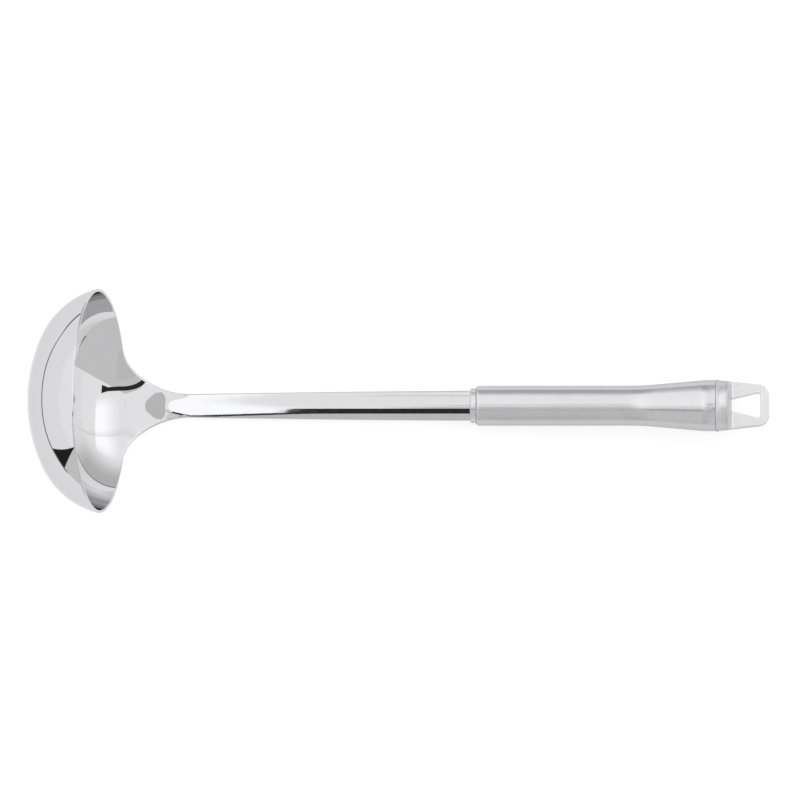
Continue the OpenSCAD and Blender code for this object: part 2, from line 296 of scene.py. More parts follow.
def make_camera():
    """The camera of the photo's view."""
    camera = bpy.data.objects.new("camera", bpy.data.cameras.new("camera"))
    bpy.context.scene.collection.objects.link(camera)
    camera.data.sensor_width = CAMERA_SENSOR
    camera.data.lens = CAMERA_LENS
    look = (CAMERA_AIM - CAMERA_PLACE).normalized()
    right = look.cross(Vector((math.sin(CAMERA_TURN), math.cos(CAMERA_TURN), 0))).normalized()
    up = right.cross(look)
    rotation = Matrix((right, up, -look)).transposed().to_4x4()
    camera.matrix_world = Matrix.Translation(CAMERA_PLACE) @ rotation
    bpy.context.scene.camera = camera


# The gap's mount gives the handle's lean and place: the handle frame has x = 0 at the tube's
# front end and z = 0 on the handle's axis
gap = frame["record"]["mounts"][0]
lie_angle = math.atan2(-gap["axis"][0], gap["axis"][2])
gap_middle_x = TAIL_X - TAIL_BAR_W - GAP_L / 2
handle_x = gap["pos_m"][0] - gap_middle_x * MM * math.cos(lie_angle)
handle_z = gap["pos_m"][2] - gap_middle_x * MM * math.sin(lie_angle)


def placed(points):
    """Points of the handle frame, in millimetres, as metres in the part's frame."""
    p = np.asarray(points, float) * MM
    x = handle_x + p[..., 0] * math.cos(lie_angle) - p[..., 2] * math.sin(lie_angle)
    z = handle_z + p[..., 0] * math.sin(lie_angle) + p[..., 2] * math.cos(lie_angle)
    return np.stack([x, p[..., 1], z], axis=-1)


def grid_faces(rows, columns, start=0):
    """Quads of a grid of points, row after row."""
    i, j = np.meshgrid(np.arange(rows - 1), np.arange(columns - 1), indexing="ij")
    a = (start + i * columns + j).ravel()
    return np.stack([a, a + 1, a + columns + 1, a + columns], axis=1)


def weld(bm):
    """Joins points that coincide, and takes out faces without area."""
    bmesh.ops.remove_doubles(bm, verts=bm.verts, dist=WELD_DIST * MM)
    bmesh.ops.dissolve_degenerate(bm, edges=bm.edges, dist=WELD_DIST * MM)


def mesh_piece(name, points, faces):
    """A smooth closed mesh from points in the handle frame. Points that coincide become one."""
    bm = bmesh.new()
    verts = [bm.verts.new(p) for p in placed(points)]
    for face in faces:
        bm.faces.new([verts[i] for i in face])
    weld(bm)
    bmesh.ops.holes_fill(bm, edges=[e for e in bm.edges if e.is_boundary], sides=0)
    bmesh.ops.recalc_face_normals(bm, faces=bm.faces)
    mesh = bpy.data.meshes.new(name)
    bm.to_mesh(mesh)
    bm.free()
    mesh.shade_smooth()
    piece = bpy.data.objects.new(name, mesh)
    bpy.context.scene.collection.objects.link(piece)
    return piece


def mesh_of_grids(name, grids):
    """One mesh from grids of points that share their borders."""
    points, faces, start = [], [], 0
    for grid in grids:
        points.append(grid.reshape(-1, 3))
        faces.append(grid_faces(*grid.shape[:2], start))
        start += len(points[-1])
    return mesh_piece(name, np.vstack(points), np.vstack(faces))


# Bowl: its frame has r outwards from its axis and h upwards from the rim's plane
wall_out = np.array([math.cos(WALL_DRAFT), -math.sin(WALL_DRAFT)])
shoulder_centre = np.array([BOWL_D / 2, 0]) - SHOULDER_R * wall_out
shoulder_rise = BOWL_DEPTH + shoulder_centre[1]
bottom_r = (
    (shoulder_rise ** 2 + shoulder_centre[0] ** 2 - SHOULDER_R ** 2) / (2 * (shoulder_rise - SHOULDER_R))
)
bottom_centre = np.array([0, bottom_r - BOWL_DEPTH])
bottom_angle = math.atan2(shoulder_centre[0], bottom_centre[1] - shoulder_centre[1])
rim_mid = np.array([BOWL_D / 2, 0]) - HALF_T * wall_out
shank_z = (CROWN_MID_R - math.sqrt(CROWN_MID_R ** 2 - (SHANK_W / 2) ** 2)) / 2
rim_z = shank_z + math.tan(WALL_DRAFT - BOWL_LEAN) * NECK_L / 2
bowl_axis = np.array([math.cos(BOWL_LEAN), 0, math.sin(BOWL_LEAN)])
bowl_back = np.array([math.sin(BOWL_LEAN), 0, -math.cos(BOWL_LEAN)])
rim_centre = np.array([RIM_X, 0, rim_z]) - rim_mid[0] * bowl_back - rim_mid[1] * bowl_axis

# Centre line of the sheet's edge along the neck: a root arc and a flare arc
flare_y = WAIST_W / 2 + FLARE_R
root_mid_r = ROOT_R + HALF_T
flare_mid_r = FLARE_R + HALF_T
root_y = flare_y - math.sqrt((FLARE_R - ROOT_R) ** 2 - (NECK_L - root_mid_r) ** 2)
root_end = NECK_L - flare_mid_r * (NECK_L - root_mid_r) / (FLARE_R - ROOT_R)
root_end_s = NECK_L - FLARE_R * (NECK_L - ROOT_R) / (FLARE_R - ROOT_R)


def ease(t):
    """From 0 to 1, level at both ends."""
    t = np.clip(t, 0, 1)
    return t * t * (3 - 2 * t)


def from_bowl(r, h, turn):
    """A point of the bowl's frame in the handle frame, turned about the bowl's axis from its back."""
    r, h, turn = (v[..., None] for v in np.broadcast_arrays(r, h, turn))
    return rim_centre + r * (np.cos(turn) * bowl_back + np.sin(turn) * np.array([0, 1, 0])) + h * bowl_axis


def neck_share(a):
    """1 across the neck, and 0 around the rest of the rim."""
    return 1 - ease((np.abs(a) - root_y) / NECK_FADE)


def wall_point(s, a, off):
    """A point of the bowl's wall near the rim: s past the rim, a around it, off towards the inside."""
    spread = s * math.sin(WALL_DRAFT)
    r = rim_mid[0] + spread - off * math.cos(WALL_DRAFT)
    h = rim_mid[1] + s * math.cos(WALL_DRAFT) + off * math.sin(WALL_DRAFT)
    return from_bowl(r, h, a / (rim_mid[0] + spread * neck_share(a)))


def half_width(s):
    """Half the neck's width, measured between the sheet's outermost sides, at s from the rim."""
    s = np.clip(s, 0, NECK_L)
    root = root_y - np.sqrt(ROOT_R ** 2 - (ROOT_R - np.minimum(s, root_end_s)) ** 2)
    flare = flare_y - np.sqrt(FLARE_R ** 2 - (NECK_L - s) ** 2)
    return np.where(s < root_end_s, root, flare)


def crown_at(s):
    """Radius of the crown, which flattens as the neck widens."""
    return CROWN_MID_R * (2 * half_width(s) / WAIST_W) ** CROWN_POWER


def shank_point(s, a, off):
    """A point of the shank and its neck, whose cross-section is a crown."""
    r = crown_at(s)
    turn = a / r
    side = (r + off) * np.sin(turn)
    rise = shank_z - r + (r + off) * np.cos(turn)
    return np.stack(np.broadcast_arrays(RIM_X + s, side, rise), axis=-1)


def sheet_point(s, a, off):
    """A point of the sheet: the neck blends the bowl's wall, carried past the rim, into the shank."""
    s, a, off = np.broadcast_arrays(*(np.asarray(v, float) for v in (s, a, off)))
    wall = wall_point(s, a, off)
    return wall + (shank_point(s, a, off) - wall) * (ease(s / NECK_L) * neck_share(a))[..., None]


def edge_line():
    """The sheet's edge from the rim to the tang's end, as s, a and the outward direction there."""
    root = np.linspace(0, 1, ROOT_ROWS + 1) ** 2 * root_end
    flare = root_end + (NECK_L - root_end) * np.linspace(0, 1, FLARE_ROWS + 1)[1:]
    length = SHANK_L + COLLAR_L + TANG_L
    shank = NECK_L + length * np.linspace(0, 1, SHANK_ROWS + 1)[1:]
    root_side = np.sqrt(np.maximum(root_mid_r ** 2 - (root_mid_r - root) ** 2, 0))
    root_out = np.stack([(root_mid_r - root) / root_mid_r, root_side / root_mid_r], axis=1)
    flare_side = np.sqrt(flare_mid_r ** 2 - (NECK_L - flare) ** 2)
    flare_out = np.stack([(NECK_L - flare) / flare_mid_r, flare_side / flare_mid_r], axis=1)
    t = np.minimum((shank - NECK_L) / SHANK_L, 1)
    widening = (1 - EASE_SHARE) * t + EASE_SHARE * np.sin(math.pi / 2 * t)
    s = np.concatenate([root, flare, shank])
    a = np.concatenate(
        [root_y - root_side, flare_y - flare_side, (WAIST_W + (SHANK_W - WAIST_W) * widening) / 2 - HALF_T]
    )
    out = np.concatenate([root_out, flare_out, np.tile([0.0, 1.0], (SHANK_ROWS, 1))])
    return s, a, out


def wall_rows():
    """The bowl's middle surface from its pole to the rim, as r, h and the direction to the inside."""
    t = np.concatenate([
        np.linspace(0, bottom_angle, BOTTOM_ROWS + 1),
        np.linspace(bottom_angle, math.pi / 2 - WALL_DRAFT, SHOULDER_ROWS + 1)[1:],
    ])
    t = np.insert(t, -1, t[-1] - EDGE_ROW / SHOULDER_R)
    inside = np.stack([-np.sin(t), np.cos(t)], axis=1)
    at_bottom = (np.arange(len(t)) <= BOTTOM_ROWS)[:, None]
    centre = np.where(at_bottom, bottom_centre, shoulder_centre)
    radius = np.where(at_bottom, bottom_r, SHOULDER_R) - HALF_T
    return centre - inside * radius, inside


def sheet_grids():
    """Grids of the bowl, neck, shank and tang, both faces and all edges."""
    s, a, out = edge_line()
    across = np.linspace(-1, 1, NECK_COLUMNS + 1)
    across = np.insert(across, [1, -1], [EDGE_ROW / a[0] - 1, 1 - EDGE_ROW / a[0]])
    neck_turn = across * a[0] / rim_mid[0]
    rim_turn = np.linspace(neck_turn[-1], 2 * math.pi + neck_turn[0], RIM_COLUMNS + 1)
    turn = np.concatenate([neck_turn, rim_turn[1:]])
    mid, inside = wall_rows()
    grids = []
    for off in (HALF_T, -HALF_T):
        rows = mid + off * inside
        grids.append(from_bowl(rows[:, :1], rows[:, 1:], turn[None]))
        grids.append(sheet_point(s[:, None], a[:, None] * across, off))
    cap = np.linspace(0, math.pi, CAP_STEPS + 1)[:, None]
    reach, rise = HALF_T * np.sin(cap), HALF_T * np.cos(cap)
    around = (rim_turn + math.pi) % (2 * math.pi) - math.pi
    grids.append(sheet_point(reach, around * rim_mid[0], rise))
    for side in (1, -1):
        grids.append(sheet_point(s + out[:, 0] * reach, side * (a + out[:, 1] * reach), rise))
    return grids


def rounded(points, radii, closed=False):
    """An outline whose corners are replaced by arcs. points and radii are in millimetres."""
    points = [np.asarray(p, float) for p in points]
    made = []
    for i, (corner, radius) in enumerate(zip(points, radii)):
        at_end = not closed and i in (0, len(points) - 1)
        if radius == 0 or at_end:
            made.append(corner)
            continue
        before = points[i - 1] - corner
        after = points[(i + 1) % len(points)] - corner
        before /= np.linalg.norm(before)
        after /= np.linalg.norm(after)
        half = math.acos(np.clip(before @ after, -1, 1)) / 2
        middle = (before + after) / np.linalg.norm(before + after)
        centre = corner + middle * radius / math.sin(half)
        start = corner + before * radius / math.tan(half) - centre
        end = corner + after * radius / math.tan(half) - centre
        sweep = math.pi - 2 * half
        for k in range(FILLET_STEPS + 1):
            t = sweep * k / FILLET_STEPS
            made.append(centre + (start * math.sin(sweep - t) + end * math.sin(t)) / math.sin(sweep))
    return np.array(made)


def turned(name, profile, closed=False):
    """A solid turned about the handle's axis, from points of x and radius."""
    profile = np.asarray(profile, float)
    if closed:
        profile = np.vstack([profile, profile[:1]])
    turn = np.linspace(0, 2 * math.pi, TURN_STEPS + 1)
    x = np.repeat(profile[:, :1], len(turn), axis=1)
    grid = np.stack([x, profile[:, 1:] * np.sin(turn), profile[:, 1:] * np.cos(turn)], axis=-1)
    return mesh_of_grids(name, [grid])


def swell_line(inset):
    """The tube's outside as x and radius, set in by inset."""
    swell_x = TUBE_L - TAIL_LAND_L - SWELL_L
    radii = SWELL_START_R + SWELL_END_R
    drop = radii - (TAIL_R - TUBE_R)
    angle = math.asin(radii / math.hypot(SWELL_L, drop)) - math.atan2(drop, SWELL_L)
    t = np.linspace(0, angle, SWELL_STEPS + 1)
    start = [swell_x + SWELL_START_R * np.sin(t), TUBE_R + SWELL_START_R * (1 - np.cos(t))]
    end = [swell_x + SWELL_L - SWELL_END_R * np.sin(t), TAIL_R - SWELL_END_R * (1 - np.cos(t))]
    grip = np.linspace(0, swell_x, TUBE_ROWS)[:-1]
    line = [
        np.stack([grip, np.full_like(grip, TUBE_R)], axis=1),
        np.stack(start, axis=1),
        np.stack(end, axis=1)[::-1],
        [[TUBE_L, TAIL_R]],
    ]
    return np.vstack(line) - [0, inset]


def make_tube():
    """The hollow handle tube with its rounded front lip."""
    outside, inside = swell_line(0), swell_line(TUBE_WALL)[::-1]
    radii = np.zeros(len(outside) + len(inside))
    radii[0] = TUBE_LIP_R
    radii[len(outside) - 1] = SEAM_R
    outline = rounded(np.vstack([outside, inside]), radii, closed=True)
    return turned("handle_tube_skin", outline, closed=True)


def make_front_collar():
    """The collar's plug, shoulder and nose, with the slot for the tang."""
    step_r = TUBE_R - STEP_IN
    nose_r = step_r - NOSE_IN
    plug_r = BORE_R - FIT_GAP
    outline = [
        (PLUG_L, 0), (PLUG_L, plug_r), (0, plug_r), (0, step_r), (-STEP_L, step_r), (-STEP_L, nose_r),
        (-COLLAR_L, nose_r), (-COLLAR_L, 0),
    ]
    radii = [0, TURNED_EDGE_R, 0, SEAM_R, SEAM_R, SEAM_R, NOSE_EDGE_R, 0]
    collar = turned("front_collar_skin", rounded(outline, radii))
    first = NECK_L + SHANK_L - OVERRUN
    last = NECK_L + SHANK_L + COLLAR_L + PLUG_L + OVERRUN
    subtract(collar, mesh_of_grids("slot", slot_grids(first, last)))
    return collar


def slot_grids(first, last):
    """The closed slot for the tang between two distances from the rim."""
    w = SHANK_W / 2 - HALF_T
    r = HALF_T + SLOT_GAP
    across = np.linspace(-w, w, NECK_COLUMNS + 1)
    cap = np.linspace(0, math.pi, CAP_STEPS + 1)
    a = np.concatenate([across, w + r * np.sin(cap), across[::-1], -w - r * np.sin(cap)])
    level = np.full_like(across, r)
    off = np.concatenate([level, r * np.cos(cap), -level, -r * np.cos(cap)])
    ends = np.array([first, last])[:, None]
    return [shank_point(ends, a, off)]


def subtract(piece, cut):
    """Cuts one mesh out of another, and keeps the cut's edges sharp and its faces clean."""
    modifier = piece.modifiers.new("cut", "BOOLEAN")
    modifier.operation = "DIFFERENCE"
    modifier.solver = "EXACT"
    modifier.object = cut
    view = bpy.context.evaluated_depsgraph_get()
    mesh = bpy.data.meshes.new_from_object(piece.evaluated_get(view))
    piece.modifiers.clear()
    piece.data = mesh
    bm = bmesh.new()
    bm.from_mesh(mesh)
    weld(bm)
    bm.to_mesh(mesh)
    bm.free()
    mesh.set_sharp_from_angle(angle=SHARP_ANGLE)
    bpy.data.objects.remove(cut)


def make_end_collar():
    """The collar's spigot, bead and tapered band, with the bore for the loop."""
    spigot_r = TAIL_R - TUBE_WALL - FIT_GAP
    socket_r = SOCKET_D / 2
    groove_r = TAIL_R - GROOVE_DEPTH
    turns = np.linspace(0, math.pi, BEAD_STEPS + 1)
    bead_h = BEAD_R - groove_r
    bead = [(TUBE_L + BEAD_L * t / math.pi, groove_r + bead_h * math.sin(t)) for t in turns]
    start = TUBE_L - COLLAR_SPIGOT_L
    front = [(start, socket_r), (start, spigot_r), (TUBE_L, spigot_r)]
    outline = front + bead + [(LOOP_X, BAND_R), (LOOP_X, socket_r)]
    radii = [0, TURNED_EDGE_R, 0] + [0] * len(bead) + [SEAM_R, 0]
    return turned("end_collar_skin", rounded(outline, radii, closed=True), closed=True)


def both(one, other, r):
    """Distance to what two solids share, with the edge between them rounded to r."""
    outside = np.hypot(np.maximum(one + r, 0), np.maximum(other + r, 0))
    return outside + np.minimum(np.maximum(one, other) + r, 0) - r


def either(one, other, r):
    """Distance to two solids joined, with the corner between them rounded to r."""
    return -both(-one, -other, r)


def loop_distance(p):
    """Distance from the hanging loop's surface, less than 0 inside it."""
    x, y, z = p[..., 0] - LOOP_X, np.abs(p[..., 1]), np.abs(p[..., 2])
    slope = math.atan2(BAND_R - LOOP_W / 2, LOOP_L)
    half_w = BAND_R - math.tan(slope) * x
    blank = (np.hypot(y, z) - half_w - SIDE_MARGIN * np.clip(x / BASE_L, 0, 1)) * math.cos(slope)
    outline = both((y - half_w) * math.cos(slope), x - LOOP_L, LOOP_CORNER_R)

    foot_x = BASE_L + RAMP_L
    ramp = math.atan2(RAMP_L, BAND_R - TAB_T / 2)
    shoulder = (x - BASE_L) * math.cos(ramp) + (z - BAND_R) * math.sin(ramp)
    tab = z - (TAB_T + (TAB_END_T - TAB_T) * (x - foot_x) / (LOOP_L - foot_x)) / 2
    solid = both(outline, either(shoulder, tab, FOOT_R), LOOP_EDGE_R)
    solid = both(solid, blank, LOOP_EDGE_R)

    gap_x = LOOP_L - TAIL_BAR_W - GAP_L
    spread = math.atan2((GAP_REAR_W - GAP_FRONT_W) / 2, GAP_L)
    side = (y - GAP_FRONT_W / 2) * math.cos(spread) - (x - gap_x) * math.sin(spread)
    hole = both(both(side, x - gap_x - GAP_L, GAP_CORNER_R), gap_x - x, LOOP_CELL)
    solid = both(both(solid, -hole, GAP_EDGE_R), -x, SEAM_R)
    spigot_ends = np.maximum(-x - LOOP_SPIGOT_L, x - BASE_L)
    spigot = both(np.hypot(y, z) - SOCKET_D / 2 + FIT_GAP, spigot_ends, TURNED_EDGE_R)
    return either(solid, spigot, SEAM_R)


def surface_of(name, distance, low, high, cell):
    """The smooth mesh on which a distance is 0, found in cubic cells between two corners."""
    low, high = np.asarray(low, float), np.asarray(high, float)
    count = np.ceil((high - low) / cell).astype(int) + 1
    axes = [low[i] + cell * np.arange(count[i]) for i in range(3)]
    values = distance(np.stack(np.meshgrid(*axes, indexing="ij"), axis=-1))
    inside = values < 0
    corners = [inside[i:count[0] - 1 + i, j:count[1] - 1 + j, k:count[2] - 1 + k]
               for i in (0, 1) for j in (0, 1) for k in (0, 1)]
    filled = np.sum(corners, axis=0)
    crossed = (filled > 0) & (filled < 8)
    number = np.full(crossed.shape, -1)
    number[crossed] = np.arange(crossed.sum())
    points = low + cell * (np.argwhere(crossed) + 0.5)
    for _ in range(FIT_ROUNDS):
        here = distance(points)[:, None]
        step = cell * PROBE_SHARE
        rise = np.stack([(distance(points + step * e) - distance(points - step * e)) / (2 * step)
                         for e in np.eye(3)], axis=1)
        steepness = np.sum(rise * rise, axis=1, keepdims=True)
        points = points - here * rise / np.maximum(steepness, LEAST_SLOPE ** 2)
    faces = []
    for axis in range(3):
        step = np.roll([1, 0, 0], axis)
        ahead = inside[tuple(slice(step[i], None) for i in range(3))]
        here = inside[tuple(slice(None, count[i] - step[i]) for i in range(3))]
        at = np.argwhere(here != ahead)
        one, other = np.roll([0, 1, 0], axis), np.roll([0, 0, 1], axis)
        ring = [at, at - one, at - one - other, at - other]
        faces.append(np.stack([number[tuple(cells.T)] for cells in ring], axis=1))
    return mesh_piece(name, points, np.vstack(faces))


def make_loop():
    """The hanging loop with its spigot."""
    low = (LOOP_X - LOOP_SPIGOT_L - 2 * LOOP_CELL, -BAND_R - LOOP_CELL, -BAND_R - LOOP_CELL)
    high = (TAIL_X + 2 * LOOP_CELL, BAND_R + LOOP_CELL, BAND_R + LOOP_CELL)
    return surface_of("hanging_loop_skin", loop_distance, low, high, LOOP_CELL)


class Field:
    """A number that shader nodes work out, so that a formula can be written as one."""

    def __init__(self, tree, socket):
        self.tree, self.socket = tree, socket

    def feed(self, node, values):
        """Gives a node its inputs: links for fields, and plain numbers as they are."""
        for socket, value in zip(node.inputs, values):
            if isinstance(value, Field):
                self.tree.links.new(value.socket, socket)
            else:
                socket.default_value = value

    def math(self, operation, *others):
        """The result of a math node."""
        node = self.tree.nodes.new("ShaderNodeMath")
        node.operation = operation
        self.feed(node, (self, *others))
        return Field(self.tree, node.outputs[0])

    def __add__(self, other):
        return self.math("ADD", other)

    def __sub__(self, other):
        return self.math("SUBTRACT", other)

    def __mul__(self, other):
        return self.math("MULTIPLY", other)

    def __truediv__(self, other):
        return self.math("DIVIDE", other)

    def past(self, edge, soft):
        """0 below an edge and 1 above it."""
        node = self.tree.nodes.new("ShaderNodeMapRange")
        node.interpolation_type = "SMOOTHSTEP"
        self.feed(node, (self, edge - soft / 2, edge + soft / 2))
        return Field(self.tree, node.outputs[0])

    def below(self, edge, soft):
        """1 below an edge and 0 above it."""
        return (self * -1).past(-edge, soft)

    def between(self, low, high, soft):
        """1 between two edges and 0 outside them."""
        return self.past(low, soft) * self.below(high, soft)

    def toward(self, value, share):
        """Blends to another value where the share is 1."""
        return self + (self * -1 + value) * share

    def also(self, other):
        """Share of the places that are in either of two."""
        return (self + other).math("MINIMUM", 1)


def disc(u, v, centre, radius, soft):
    """1 inside a disc."""
    du, dv = u - centre[0], v - centre[1]
    return (du * du + dv * dv).math("SQRT").below(radius, soft)


class Sky:
    """A direction in the studio: x, y and z, its tangents u and v from straight up along the handle
    and across it, and its turn about the ladle."""

    def __init__(self, tree):
        place = tree.nodes.new("ShaderNodeTexCoord")
        split = tree.nodes.new("ShaderNodeSeparateXYZ")
        tree.links.new(place.outputs["Generated"], split.inputs[0])
        self.x, self.y, self.z = (Field(tree, socket) for socket in split.outputs)
        height = self.z.math("MAXIMUM", LEAST_HEIGHT)
        self.u, self.v = self.x / height, self.y / height
        self.turn = self.y.math("ARCTAN2", self.x)
        # 1 well above the horizon
        self.up = self.z.past(0.1, 0.05)

    def beyond(self, plane):
        """Distance beyond a plane through the ladle."""
        return self.x * plane[0] + self.y * plane[1] + self.z * plane[2]


def room_light(sky):
    """The white room, its dark wall low behind the far edge, and the grey side by the near edge."""
    x, y, z, u, v = sky.x, sky.y, sky.z, sky.u, sky.v
    light = z.past(0.25, 0.2) * (CEILING_LIGHT - TABLE_LIGHT) + TABLE_LIGHT
    wall = y.past(0.55, 0.4) * x.past(-0.2, 0.3) * (z.below(0.25, 0.5) * z.past(-0.3, 0.1))
    light = light.toward(WALL_LIGHT, wall)
    side = sky.beyond(NEAR_SIDE_PLANE).below(0, 0.006) * sky.beyond(NEAR_SIDE_END).past(0, 0.006)
    overhead = (u.past(-0.06, 0.01) * sky.up).also(v.below(-0.11, 0.01) * sky.up)
    side = side * overhead.also(z.below(0.1, 0.05))
    light = light.toward(NEAR_SIDE_LIGHT, side * z.past(-0.5, 0.05))
    low = v.between(*NEAR_SIDE_LOW_V, 0.05) * u.between(*NEAR_SIDE_LOW_U, 0.05)
    return light.toward(NEAR_SIDE_LOW_LIGHT, side * low * sky.up)


def with_handle_greys(light, sky):
    """The dusk low on either side of the handle, and the greys that the handle reflects."""
    x, y, z = sky.x, sky.y, sky.z
    far = x.between(*FAR_DUSK_X, 0.04) * y.past(0.5, 0.2) * z.below(0.42, 0.7) * z.past(-0.3, 0.1)
    light = light.toward(FAR_DUSK_LIGHT, far)
    near = x.between(*NEAR_DUSK_X, 0.04) * y.below(-0.6, 0.1) * z.between(*NEAR_DUSK_Z, 0.15)
    light = light.toward(NEAR_DUSK_LIGHT, near)
    for value, u_range, u_soft, v_range, v_soft in HANDLE_GREYS:
        patch = sky.u.between(*u_range, u_soft) * sky.v.between(*v_range, v_soft)
        light = light.toward(value, patch * sky.up)
    return light


def with_soft_boxes(light, sky):
    """The box above the handle, and the box above the bowl's far side with a dark gap along its edge."""
    u, v, up = sky.u, sky.v, sky.up
    box = (u - v * 0.3).below(1.12, 0.15) * v.past(-0.05, 0.35) * v.below(1.6, 0.9)
    light = light.toward(HANDLE_BOX_LIGHT, box * u.past(0.45, 0.8) * up)
    # Seam across that box, dim on its near side
    across = v - u * 0.26
    seam = across.past(0.5, 0.25) * across.below(0.62, 0.03) * u.past(0.1, 0.5)
    light = light * (seam * up * -SEAM_LOSS + 1)

    edge = u * BOX_EDGE_SLOPE - v + BOX_EDGE_V
    box = (u + v * 0.03).below(-0.145, 0.011) * edge.below(0, 0.01) * v.between(*BOX_V, 0.2)
    far_end = u.past(-0.2, 0.01).also(v.past(-0.03, 0.03)) * u.past(-1, 0.3)
    light = light.toward(BOWL_BOX_FAR_LIGHT, box * far_end * up)
    bright_end = u.past(-0.172, 0.01).also(v.past(-0.3, 0.03)) * u.past(-0.225, 0.04)
    light = light.toward(BOWL_BOX_LIGHT, box * bright_end * up)
    gap = edge.between(*BOX_GAP, 0.01) * v.between(*BOX_GAP_V, 0.02)
    return light.toward(FLAG_LIGHT, gap * up)


def with_stand_and_flags(light, sky):
    """The grey of the camera's stand, the black flag and the black things beyond the table."""
    z, u, v, turn = sky.z, sky.u, sky.v, sky.turn
    stand = disc(u, v, STAND_PLACE, STAND_R, 0.01) * u.below(STAND_CUT_U, 0.003)
    light = light.toward(STAND_LIGHT, stand * sky.up)
    bar = u.between(*BAR_U, FLAG_SOFT) * v.between(*BAR_V, FLAG_SOFT)
    wedge_sides = (v + u * 0.28).past(-0.155, FLAG_SOFT) * (v - u * 0.12).below(-0.303, FLAG_SOFT)
    wedge = u.between(*WEDGE_U, FLAG_SOFT) * wedge_sides
    band_ends = (u - v * 0.0246).past(-0.1383, 0.001) * u.below(-0.114, 0.002)
    band = band_ends * v.between(*BAND_V, 0.006)
    light = light.toward(FLAG_LIGHT, bar.also(band).also(wedge) * sky.up)
    right = turn.between(*RIGHT_THING_TURN, 0.02) * z.between(*RIGHT_THING_Z, 0.008)
    light = light.toward(RIGHT_THING_LIGHT, right)
    left = turn.between(*LEFT_THING_TURN, 0.01) * z.past(LEFT_THING_Z, 0.02)
    slanted_side = (turn * 2.27 - z + 5.727).past(0, 0.02)
    return light.toward(LEFT_THING_LIGHT, left * slanted_side)


def studio_light(tree):
    """Brightness of the studio by direction, as the steel shows it."""
    sky = Sky(tree)
    light = room_light(sky)
    light = with_handle_greys(light, sky)
    light = with_soft_boxes(light, sky)
    return with_stand_and_flags(light, sky)


def noise(place, per_mm, detail=2):
    """A value about 0.5 that wanders with the place, with so many marks per millimetre each way."""
    tree = place[0].tree
    join = tree.nodes.new("ShaderNodeCombineXYZ")
    place[0].feed(join, [value * count for value, count in zip(place, per_mm)])
    node = tree.nodes.new("ShaderNodeTexNoise")
    node.inputs["Scale"].default_value = 1
    node.inputs["Detail"].default_value = detail
    tree.links.new(join.outputs[0], node.inputs["Vector"])
    return Field(tree, node.outputs[0])


def finished(name, color, edge, metallic, recipe):
    """A material whose tone, roughness and height the recipe works out by the place in millimetres."""
    material = bpy.data.materials.new(name)
    material.use_nodes = True
    tree = material.node_tree
    shader = tree.nodes["Principled BSDF"]
    shader.inputs["Metallic"].default_value = metallic
    shader.inputs["Specular Tint"].default_value = (*edge, 1)
    place = tree.nodes.new("ShaderNodeTexCoord")
    split = tree.nodes.new("ShaderNodeSeparateXYZ")
    tree.links.new(place.outputs["Object"], split.inputs[0])
    tone, roughness, height = recipe(*(Field(tree, socket) / MM for socket in split.outputs))
    tint = tree.nodes.new("ShaderNodeVectorMath")
    tint.operation = "SCALE"
    tint.inputs[0].default_value = color
    tree.links.new(tone.socket, tint.inputs["Scale"])
    tree.links.new(tint.outputs[0], shader.inputs["Base Color"])
    tree.links.new(roughness.socket, shader.inputs["Roughness"])
    bump = tree.nodes.new("ShaderNodeBump")
    bump.inputs["Distance"].default_value = MM
    tree.links.new(height.socket, bump.inputs["Height"])
    tree.links.new(bump.outputs[0], shader.inputs["Normal"])
    return material


def along_handle(x, z):
    """Millimetres along the handle from the tube's front end."""
    return (x - handle_x / MM) * math.cos(lie_angle) + (z - handle_z / MM) * math.sin(lie_angle)


def mirror_polish(x, y, z):
    """Faint polishing hairlines along the ladle, a slight haze and the sheet's gentle waviness."""
    hair = noise((x, y, z), HAIRLINES, 3)
    haze = noise((x, y, z), HAZE)
    waves = noise((x, y, z), SHEET_WAVES, 0)
    tone = hair * 0.05 + haze * 0.04 + 0.955
    roughness = hair.past(0.62, 0.1) * 0.02 + haze * 0.01 + POLISHED_BLUR
    return tone, roughness, waves * SHEET_WAVE_H + hair * HAIRLINE_H


def satin_turned(blur, marks):
    """Fine brushed rings about the handle, with painted shade and polishing residue darkening the tone at
    each seam mark.
    """
    def recipe(x, y, z):
        along = along_handle(x, z)
        rings = noise((along, y, z), RINGS, 3)
        cloud = noise((x, y, z), HANDLE_CLOUDS)
        tone = rings * 0.1 + cloud * 0.06 + 0.92
        for place, reach, shaded_tone in marks:
            # Painted shade, with polishing residue, darkens the tone in the seam's crevice
            tone = tone.toward(shaded_tone, along.between(place - reach, place + reach, reach))
        return tone, rings * 0.1 + (cloud * 0.04 + blur), rings * RING_H
    return recipe


def satin_loop(x, y, z):
    """Wavy brushing that follows the loop: lengthwise on its arms and across its tail bar, with painted
    shade and residue at its foot.
    """
    along = along_handle(x, z)
    bend = noise((x, y, z), STREAK_BENDS) * STREAK_BEND
    lengthwise = noise((x, y + bend, z), LONG_STREAKS, 3)
    across = noise((x + bend, y, z), CROSS_STREAKS, 3)
    tail = along.past(TAIL_X - TAIL_BAR_W - 0.5, 2)
    streaks = lengthwise + (across - lengthwise) * tail
    tone = streaks * 0.4 + 0.8
    # Painted shade, with residue, darkens the loop's foot in the corner against the band
    tone = tone.toward(FOOT_SHADE_AND_RESIDUE_TONE, along.below(LOOP_X + FOOT_SHADE_AND_RESIDUE_L, 0.8))
    return tone, streaks * 0.2 + CAST_BLUR, streaks * STREAK_H


def moulded(x, y, z):
    """Fine moulded grain."""
    grain = noise((x, y, z), MOULD_GRAIN)
    cloud = noise((x, y, z), MOULD_CLOUDS)
    return grain * 0.15 + cloud * 0.2 + 0.83, grain * 0.15 + NYLON_BLUR, grain * MOULD_GRAIN_H


